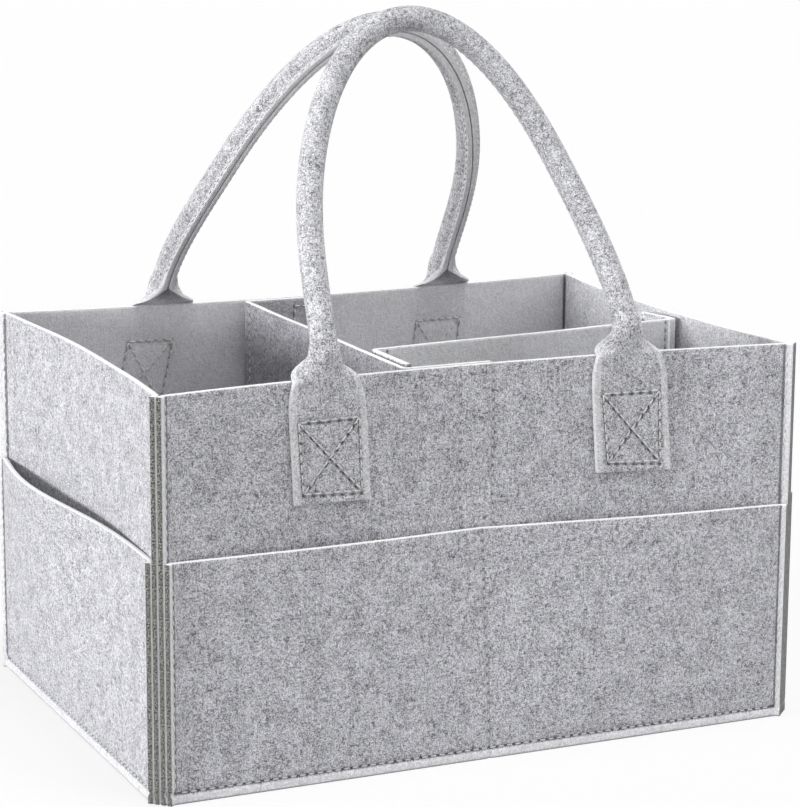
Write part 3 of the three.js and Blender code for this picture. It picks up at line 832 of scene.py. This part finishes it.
def on_handle(side, spine, u, v, d):
    """A point of the strip: u from -1 to 1 across it, v along it from the end of its left foot,
    and d the depth below its outer face."""
    outward, _, bow, *_ = HANDLES[side]
    *lines, reached = spine
    total = reached[-1]
    half_span = FOOT_SPACING / 2
    length = np.clip(v - FOOT_LENGTH - HINGE_GAP, 0, total)
    middle, inner, beside = (at_length(length, reached, values) for values in lines)
    from_end = np.minimum(length, total - length)
    # Above the rim the strip's edges close in a rounded dome, the tube stays wide for a little, and
    # the felt bulges outwards
    curl = np.clip(from_end / NECK_LENGTH, 0, 1) ** NECK_POWER
    past_neck = eased((from_end - NECK_LENGTH) / NECK_TAPER_LENGTH)
    wider = 1 + NECK_WIDER_SHARE * curl**2 * (1 - past_neck)
    width = SHOULDER_WIDTH + (TUBE_STRIP_WIDTH - SHOULDER_WIDTH) * curl
    bulge = BULGE * eased(from_end / NECK_LENGTH) * (1 - eased((from_end - NECK_LENGTH) / BULGE_FADE))

    # The section: the felt's angle added up from the middle of the strip to the point
    steps = 48
    share = np.abs(u)
    side_way, depth = np.zeros(len(u)), np.zeros(len(u))
    for k in range(steps):
        angle = curl * roll_angle(share * (k + 0.5) / steps)
        side_way += np.cos(angle) * share * width / 2 / steps
        depth += np.sin(angle) * share * width / 2 / steps
    angle = curl * roll_angle(share)
    side_way -= (d - FELT / 2) * np.sin(angle)
    depth += (d - FELT / 2) * np.cos(angle) + FELT / 2

    place = middle + beside * (np.sign(u) * side_way * wider)[:, None]
    place += inner * (depth - bulge)[:, None]
    hand = np.where(v < FOOT_LENGTH + HINGE_GAP + total / 2, -1, 1)
    place[:, 0] += foot_shift(side, hand, FOOT_LENGTH) * (1 - eased(2 * from_end / total))
    here, at_foot = (bow_at(bow, x, HALF_LENGTH, HEIGHT) for x in (place[:, 0], half_span))
    wave = ripple(side, place[:, 0], HEIGHT)
    place[:, 1] += outward * (wave + at_foot - here) * (1 - curl)

    # The feet
    from_bottom = np.where(hand < 0, v, 2 * (FOOT_LENGTH + HINGE_GAP) + total - v)
    on_foot = from_bottom < FOOT_LENGTH + HINGE_GAP / 2
    narrows = np.clip(1 + (from_bottom - FOOT_LENGTH) / SHOULDER_LENGTH, 0, 1) ** 2
    foot_width = STRIP_WIDTH + (SHOULDER_WIDTH - STRIP_WIDTH) * narrows
    x = hand * outward * u * foot_width / 2
    z = HEIGHT - HINGE_GAP / 2 - FOOT_LENGTH + from_bottom
    z = z - FOOT_SKEW * (0.5 + x / STRIP_WIDTH) * (1 - from_bottom / FOOT_LENGTH)
    s = hand * half_span + x + foot_shift(side, hand, from_bottom)
    foot = np.column_stack(on_side(side, s, POCKET[1] - d, z))
    return np.where(on_foot[:, None], foot, place)


for side, (outward, *_) in HANDLES.items():
    spine = handle_spine(side)
    total = spine[-1][-1]
    strip = 2 * (FOOT_LENGTH + HINGE_GAP) + total
    neck_end = FOOT_LENGTH + HINGE_GAP + CLOSE_NECK_SHARE * NECK_LENGTH
    along = np.concatenate([
        stations(0, neck_end, NECK_STEP)[:-2],
        np.linspace(neck_end, strip - neck_end, int((strip - 2 * neck_end) / TUBE_STEP)),
        stations(strip - neck_end, strip, NECK_STEP)[2:],
    ])
    half_strip = STRIP_WIDTH / 2
    across = np.concatenate([
        [-1, -1 + CUT_SUPPORT / half_strip],
        np.linspace(-EDGE_ROW_SHARE, EDGE_ROW_SHARE, ACROSS_POINTS),
        [1 - CUT_SUPPORT / half_strip, 1],
    ])
    # The boxes' rows as flat places of the strip, which runs up the left foot and down the right
    flat_rows = [
        tuple((hand * outward * x, y if hand < 0 else strip - y) for x, y in ends)
        for hand in (-1, 1) for ends in box_rows(side, hand)
    ]

    def place(u, v, d):
        pressed_and_highlight = np.zeros(len(u))
        for start, end in flat_rows:
            apart, reached, length = from_row(u * half_strip, v, start, end)
            pitch = length / max(1, int(length / STITCH_PITCH))
            holes = 0.75 + 0.25 * np.cos(2 * math.pi * reached / pitch)
            pressed_and_highlight = np.maximum(pressed_and_highlight, groove(apart) * holes)
        return on_handle(side, spine, u, v, d + BOX_GROOVE * pressed_and_highlight * (1 - d / FELT)).T

    # The long cut edges are painted paler: partly their pale fibres, partly a painted highlight
    handle = closed_sheet(
        f"{side}_handle_strip", across, along, place, raw=(-0.4, -0.4, 0, 0), flat_share=half_strip,
    )
    # Each row's shadow lies just below its thread
    shadows = [
        tuple((x, y - MARK_BELOW if y < strip / 2 else y + MARK_BELOW) for x, y in row)
        for row in flat_rows
    ]
    # A painted highlight along the strip's long edges
    handle.data.materials.append(marled_felt(
        f"{side}_handle_felt", HANDLE_PALE, HANDLE_DARK, shadows, mark_share=0.9,
        highlight_past=half_strip - HIGHLIGHT_MARGIN,
    ))
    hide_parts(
        f"{side}_handle", f"{side}_handle_left_foot", f"{side}_handle_right_foot",
    )
    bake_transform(handle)

    # Each box shows on the foot and inside the wall, and a row runs beside each edge of the tube
    rows = []
    sunk = POCKET[1] - BOX_GROOVE * THREAD_SUNK_SHARE
    for hand in (-1, 1):
        for ends in box_on_wall(side, hand):
            s, z = line(*ends)
            for depth, way in ((sunk, 1), (WALL[0], -1)):
                rows.append(sewn_row(lambda out: on_side(side, s, out, z), depth, way))
    stitches(f"{side}_handle_box_stitches", rows, "shell")
    row_start = neck_end + TUBE_ROW_INSET
    v = np.linspace(row_start, strip - row_start, TUBE_ROW_POINTS)
    rows = [
        sewn_row(lambda d: on_handle(side, spine, edge + 0 * v, v, d + 0 * v).T, 0.0, -1)
        for edge in (-EDGE_ROW_SHARE, EDGE_ROW_SHARE)
    ]
    stitches(f"{side}_handle_tube_stitches", rows, f"{side}_handle")

# Dividers. Two upright felt panels with a tab folded at each end: one from the front wall to the
# back wall, the other from the first to the right end wall. A row of stitches beside each fold
# keeps it sharp. They stand on the base and lift out.
CROSS_DIVIDER_PLACE = -0.0385
CROSS_DIVIDER_TOP = 0.199
TAB_LENGTH = 0.048
FOLD_RADIUS = 0.0025
LONG_DIVIDER_START = -0.058
LONG_DIVIDER_END = -0.027
LONG_DIVIDER_TOP = 0.1998
LONG_DIVIDER_DROP = 0.0026
RIGHT_TAB_LENGTH = 0.025
RIGHT_TAB_STANDS_OFF = 0.006
TAPE = 0.0006
TAPE_GAP = 0.0001
FOLD_STITCH = 0.0068
FOLD_REACH = 0.002
FOLD_ROW_INSETS = (0.003, 0.002)
THREAD_SUNK = 0.0004
FOLD_STEPS = 13
BULGE_WAVES = (0.021, 0.05)
BULGE_EASE = 0.03
BULGE_HEIGHT = 0.1
TAB_CALM = 0.01
LOOP_DEPTH = CLEARANCE / 2
HOOK_DEPTH = LOOP_DEPTH + TAPE + TAPE_GAP
tab_middle = HOOK_DEPTH + TAPE + TAPE_GAP + FELT / 2


def front_inside(x, depth):
    return bow_at(FRONT_BOW, x, HALF_LENGTH, HEIGHT) + depth - HALF_DEPTH


def back_inside(x, depth):
    return HALF_DEPTH - bow_at(BACK_BOW, x, HALF_LENGTH, HEIGHT) - depth


def right_inside(y, depth):
    return HALF_LENGTH - bow_at(RIGHT_BOW, y, HALF_DEPTH, HEIGHT) - depth


def folded_path(*corners):
    """A path in plan with rounded folds, as close points."""
    corners = np.array(corners, float)
    path = [corners[0]]
    for before, corner, after in zip(corners[:-2], corners[1:-1], corners[2:]):
        start = corner + unit(before - corner) * FOLD_RADIUS
        end = corner + unit(after - corner) * FOLD_RADIUS
        for t in np.linspace(0, 1, FOLD_STEPS):
            path.append((1 - t) ** 2 * start + 2 * t * (1 - t) * corner + t * t * end)
    path.append(corners[-1])
    close = [path[0]]
    for point in path[1:]:
        start = close[-1]
        pieces = max(1, int(np.linalg.norm(point - start) / LINE_STEP))
        close += [start + (point - start) * k / pieces for k in range(1, pieces + 1)]
    return np.array(close)


def base_top(x, y):
    return BASE_ALLOWANCE - WALL[0] - base_sag_at(x, y)


def divider(path, top_at, wave, calm):
    """A divider on its path in plan: its place function and its height."""
    reached = row_length(path)
    ahead = np.gradient(path, reached, axis=0)
    normal = unit(np.column_stack([-ahead[:, 1], ahead[:, 0]]))
    low = float(np.max(base_top(np.abs(path[:, 0]) + FELT, np.abs(path[:, 1]) + FELT))) + CLEARANCE
    wave_along, wave_up = BULGE_WAVES

    def place(u, v, d):
        held = eased((u - calm[0]) / BULGE_EASE) * eased((calm[1] - u) / BULGE_EASE)
        bulge = wave * held * eased(v / BULGE_HEIGHT) * np.sin(u / wave_along + 1) * np.cos(v / wave_up)
        aside = at_length(u, reached, normal) * (FELT / 2 - d + bulge)[:, None]
        x, y = (at_length(u, reached, path) + aside).T
        return x, y, low + v / (HEIGHT - low) * (top_at(x) - low)

    return place, HEIGHT - low


tab_end = CROSS_DIVIDER_PLACE + TAB_LENGTH
cross_path = folded_path(
    (tab_end, front_inside(tab_end, tab_middle)),
    (CROSS_DIVIDER_PLACE, front_inside(CROSS_DIVIDER_PLACE, tab_middle)),
    (CROSS_DIVIDER_PLACE, back_inside(CROSS_DIVIDER_PLACE, tab_middle)),
    (tab_end, back_inside(tab_end, tab_middle)),
)
cross_face = CROSS_DIVIDER_PLACE + FELT / 2 + CLEARANCE / 2
beside_cross = cross_face + tab_middle
left_tab_end = float(front_inside(beside_cross, tab_middle + FELT / 2)) + FOLD_RADIUS + CLEARANCE
right_tab_place = float(right_inside(LONG_DIVIDER_END, tab_middle))
long_path = folded_path(
    (beside_cross, left_tab_end),
    (beside_cross, LONG_DIVIDER_START),
    (right_tab_place, LONG_DIVIDER_END),
    (right_tab_place - RIGHT_TAB_STANDS_OFF, LONG_DIVIDER_END + RIGHT_TAB_LENGTH),
)


def cross_top(x):
    return CROSS_DIVIDER_TOP + 0 * x


def long_top(x):
    share = np.clip((x - beside_cross) / (right_tab_place - beside_cross), 0, 1)
    return LONG_DIVIDER_TOP - LONG_DIVIDER_DROP * share


# name: pale and dark fibres, how pale its inner face is, the height of its waves, and how far
# along it they begin. All is one felt: the cross divider's fibres are painted darker than the
# walls' for painted shade, and the long divider's paler, with a paler inner face, for painted light
DIVIDERS = {
    "cross_divider": ((0.58, 0.58, 0.62), (0.09, 0.09, 0.10), 0.25, 0.0006, 0.095),
    "long_divider": ((0.95, 0.96, 1.0), (0.20, 0.20, 0.22), 0.6, 0.0008, 0.03),
}
left_tab = LONG_DIVIDER_START - left_tab_end
for name, path, top_at, first_fold, last_tab in (
    ("cross_divider", cross_path, cross_top, TAB_LENGTH, TAB_LENGTH),
    ("long_divider", long_path, long_top, left_tab, RIGHT_TAB_LENGTH),
):
    pale, dark, inner_share, wave, calm_from = DIVIDERS[name]
    length = float(row_length(path)[-1])
    last_fold = length - last_tab
    place, height = divider(path, top_at, wave, (calm_from, last_fold - TAB_CALM))
    fold_lines = (first_fold + FOLD_STITCH, last_fold - FOLD_STITCH)

    def creased(u, v, d):
        pressed_and_highlight = np.maximum(groove(u - fold_lines[0]), groove(u - fold_lines[1]))
        return place(u, v, d + SEAM_GROOVE / 2 * pressed_and_highlight * (1 - 2 * d / FELT))

    folds = [fold + k * FOLD_REACH for fold in (first_fold, last_fold) for k in (-1, 0, 1)]
    across = stations(0, length, PANEL_STEP, (*fold_lines, *folds))
    along = stations(0, height, PANEL_STEP)
    # The top cut is painted white: partly its pale fibres, partly a painted highlight
    panel = closed_sheet(f"{name}_felt", across, along, creased, raw=(0.8, 0.8, 0.6, -1))
    sewn = [((fold, 0), (fold, height - CUT_SUPPORT)) for fold in fold_lines]
    for middle in (TAPE_WIDTH / 2, length - TAPE_WIDTH / 2):
        sewn += [tuple((s, z - HEIGHT + height) for s, z in row) for row in tape_rows(middle)[1:]]
    panel.data.materials.append(marled_felt(
        f"{name}_marl", pale, dark, sewn + on_inner_face(sewn), mark_share=0.85,
        inner_share=inner_share,
    ))
    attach(panel, name)
    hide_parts(name)
    rows = []
    from_foot, from_top = FOLD_ROW_INSETS
    for fold_line in fold_lines:
        u, v = line((fold_line, from_foot), (fold_line, height - from_top))
        for depth, way in ((THREAD_SUNK, -1), (FELT - THREAD_SUNK, 1)):
            rows.append(sewn_row(lambda d: place(u, v, d), depth, way))
    stitches(f"{name}_fold_stitches", rows, name)

# Tapes. Woven nylon, 22 mm wide, sewn on all round: the brushed loop half on each wall and on the
# cross divider, and the hook half on each tab. The stitches of the wall halves show outside.
WEAVE_DEPTH = 0.0004
LOOP_PALE = (0.84, 0.84, 0.83)
LOOP_DARK = (0.6048, 0.6048, 0.5976)
HOOK_PALE = (0.86, 0.86, 0.85)
HOOK_DARK = (0.6192, 0.6192, 0.612)

# The loop half is a brushed pile, and the hook half has rows of small hooks
loop_tape, tree = new_material("loop_tape")
flat = add(tree, "UVMap", uv_map="flat").outputs[0]
pile = add(tree, "TexNoise", {"Vector": flat, "Scale": 2200.0, "Detail": 4.0}).outputs[0]
colour = mixed(tree, pile, LOOP_DARK, LOOP_PALE)
surfaced(tree, colour, pile, 0.8, WEAVE_DEPTH, {"Roughness": 0.85, "Sheen Weight": 0.4})

hook_tape, tree = new_material("hook_tape")
flat = add(tree, "UVMap", uv_map="flat").outputs[0]
cell = add(tree, "TexVoronoi", {"Vector": flat, "Scale": 900.0, "Randomness": 0.15}).outputs[0]
hooks = spread(tree, cell, 0.0, 0.5, 1.0, 0.0)
colour = mixed(tree, hooks, HOOK_DARK, HOOK_PALE)
surfaced(tree, colour, hooks, 0.8, WEAVE_DEPTH, {"Roughness": 0.55, "Sheen Weight": 0.1})

TAPES = {"loop_tape": (loop_tape, LOOP_DEPTH), "hook_tape": (hook_tape, HOOK_DEPTH)}


def tape(name, body, kind, middle, place):
    """One half of a tape. place takes s, z and the depth. Returns s and z of the row round it."""
    material, near = TAPES[kind]
    across = stations(middle - TAPE_WIDTH / 2, middle + TAPE_WIDTH / 2, FINE_STEP)
    along = stations(TAPE_TOP - TAPE_LENGTH, TAPE_TOP, BASE_STEP)
    piece = closed_sheet(
        f"{name}_strip", across, along, lambda s, z, d: place(s, z, near + d),
        raw=(0, 0, 0, 0), thickness=TAPE,
    )
    piece.data.materials.append(material)
    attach(piece, body)
    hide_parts(name)
    starts = [start for start, _ in tape_rows(middle)]
    return line(*starts, starts[0])


rows = []
for side, (_, _, middle) in WALL_SIDES.items():
    if middle is None:
        continue

    def on_wall(s, z, depth):
        return on_side(side, s, -depth, z)

    name = f"{side.removesuffix('_end')}_wall_loop_tape"
    s, z = tape(name, "shell", "loop_tape", middle, on_wall)
    for thread_depth, way in ((LOOP_DEPTH + TAPE, 1), (SEAM_GROOVE - WALL[1], -1)):
        rows.append(sewn_row(lambda depth: on_wall(s, z, depth), thread_depth, way))
stitches("wall_tape_stitches", rows, "shell")


def on_cross_face(s, z, depth):
    return cross_face + depth + 0 * s, s, z


def on_right_tab(s, z, depth):
    stands_off = RIGHT_TAB_STANDS_OFF * (s - LONG_DIVIDER_END) / RIGHT_TAB_LENGTH
    return right_tab_place - stands_off + tab_middle - depth, s, z


long_tape = left_tab_end + TAPE_WIDTH / 2
tab_tapes = {
    "cross_divider": [
        ("front_hook_tape", FRONT_TAPE_PLACE, lambda s, z, depth: (s, front_inside(s, depth), z)),
        ("back_hook_tape", FRONT_TAPE_PLACE, lambda s, z, depth: (s, back_inside(s, depth), z)),
        ("loop_tape", long_tape, on_cross_face),
    ],
    "long_divider": [
        ("left_hook_tape", long_tape, on_cross_face),
        ("right_hook_tape", RIGHT_TAPE_PLACE, on_right_tab),
    ],
}
for body, tapes in tab_tapes.items():
    rows = []
    for tab, middle, place in tapes:
        kind = "hook_tape" if tab.endswith("hook_tape") else "loop_tape"
        s, z = tape(f"{body}_{tab}", body, kind, middle, place)
        # A hook tape's thread shows on the tab's other face
        behind = tab_middle + FELT / 2 if kind == "hook_tape" else LOOP_DEPTH + TAPE
        rows.append(sewn_row(lambda depth: place(s, z, depth), behind, 1))
    stitches(f"{body}_tape_stitches", rows, body)

# Camera. A long lens, a little above the rim and to the left of the front wall, as the
# photograph was taken.
PICTURE_HEIGHT_PX = 807
FOCAL_LENGTH_PX = 2750.2
CAMERA_AZIMUTH = math.radians(-24.68)
CAMERA_ELEVATION = math.radians(11.86)
CAMERA_ROLL = math.radians(0.32)
CAMERA_DISTANCE = 1.46664
CAMERA_TARGET = Vector((0.00777, 0, 0.15708))
SENSOR = 36.0

back = Vector((
    math.sin(CAMERA_AZIMUTH) * math.cos(CAMERA_ELEVATION),
    -math.cos(CAMERA_AZIMUTH) * math.cos(CAMERA_ELEVATION),
    math.sin(CAMERA_ELEVATION),
))
level = Vector((0, 0, 1)).cross(back).normalized()
upright = back.cross(level)
right = math.cos(CAMERA_ROLL) * level + math.sin(CAMERA_ROLL) * upright
up = math.cos(CAMERA_ROLL) * upright - math.sin(CAMERA_ROLL) * level
camera = placed("camera", bpy.data.cameras.new("camera"))
camera.matrix_world = Matrix.LocRotScale(
    CAMERA_TARGET + back * CAMERA_DISTANCE,
    Matrix((right, up, back)).transposed(),
    None,
)
camera.data.sensor_width = SENSOR
camera.data.lens = SENSOR * FOCAL_LENGTH_PX / PICTURE_HEIGHT_PX
camera.data.clip_end = 100
bpy.context.scene.camera = camera

# Stage. A white table under soft light: strongest from the left, some from above, and little
# from the front. The camera sees the table and the room as white, with the caddy's faint shadow.
FLOOR_REACH = 30.0
SHADOW_SHARE = 0.35
TABLE_GLOW = 1.15
AMBIENT = 0.42

floor_mesh = bpy.data.meshes.new("floor")
ways = ((-1, -1), (1, -1), (1, 1), (-1, 1))
floor_mesh.from_pydata([(x * FLOOR_REACH, y * FLOOR_REACH, 0) for x, y in ways], [], [(0, 1, 2, 3)])
floor = placed("floor", floor_mesh)
white, tree = new_material("white_table")
surface = tree.nodes["Principled BSDF"]
surface.inputs["Base Color"].default_value = (0.60, 0.60, 0.60, 1)
surface.inputs["Roughness"].default_value = 0.9
surface.inputs["Specular IOR Level"].default_value = 0.1
ray = add(tree, "LightPath")
seen = combined(tree, "MULTIPLY", ray.outputs["Is Camera Ray"], 1 - SHADOW_SHARE)
glow = add(tree, "Emission", {"Color": (1, 1, 1, 1), "Strength": TABLE_GLOW})
lit = add(tree, "MixShader", {0: seen, 1: surface.outputs[0], 2: glow.outputs[0]})
tree.links.new(lit.outputs[0], tree.nodes["Material Output"].inputs["Surface"])
floor.data.materials.append(white)

world = bpy.data.worlds.new("studio")
bpy.context.scene.world = world
world.use_nodes = True
tree = world.node_tree
ray = add(tree, "LightPath")
ways = ("Is Camera Ray", "Is Glossy Ray", "Is Transmission Ray")
shown = combined(tree, "MAXIMUM", *[ray.outputs[way] for way in ways])
strength = spread(tree, shown, to_low=AMBIENT)
tree.links.new(strength, tree.nodes["Background"].inputs["Strength"])
tree.nodes["Background"].inputs["Color"].default_value = (1, 1, 1, 1)

for name, towards, power, width in (
    ("left_light", (-1.0, -0.04, 0.03), 4.7, 22),
    ("top_light", (0.10, -0.14, 1.0), 1.7, 36),
    ("right_light", (0.58, -0.64, 0.50), 0.6, 44),
):
    lamp = bpy.data.lights.new(name, "SUN")
    lamp.energy = power
    lamp.angle = math.radians(width)
    light = placed(name, lamp)
    light.rotation_euler = Vector(towards).to_track_quat("Z", "Y").to_euler()

bpy.context.scene.view_settings.view_transform = "Standard"
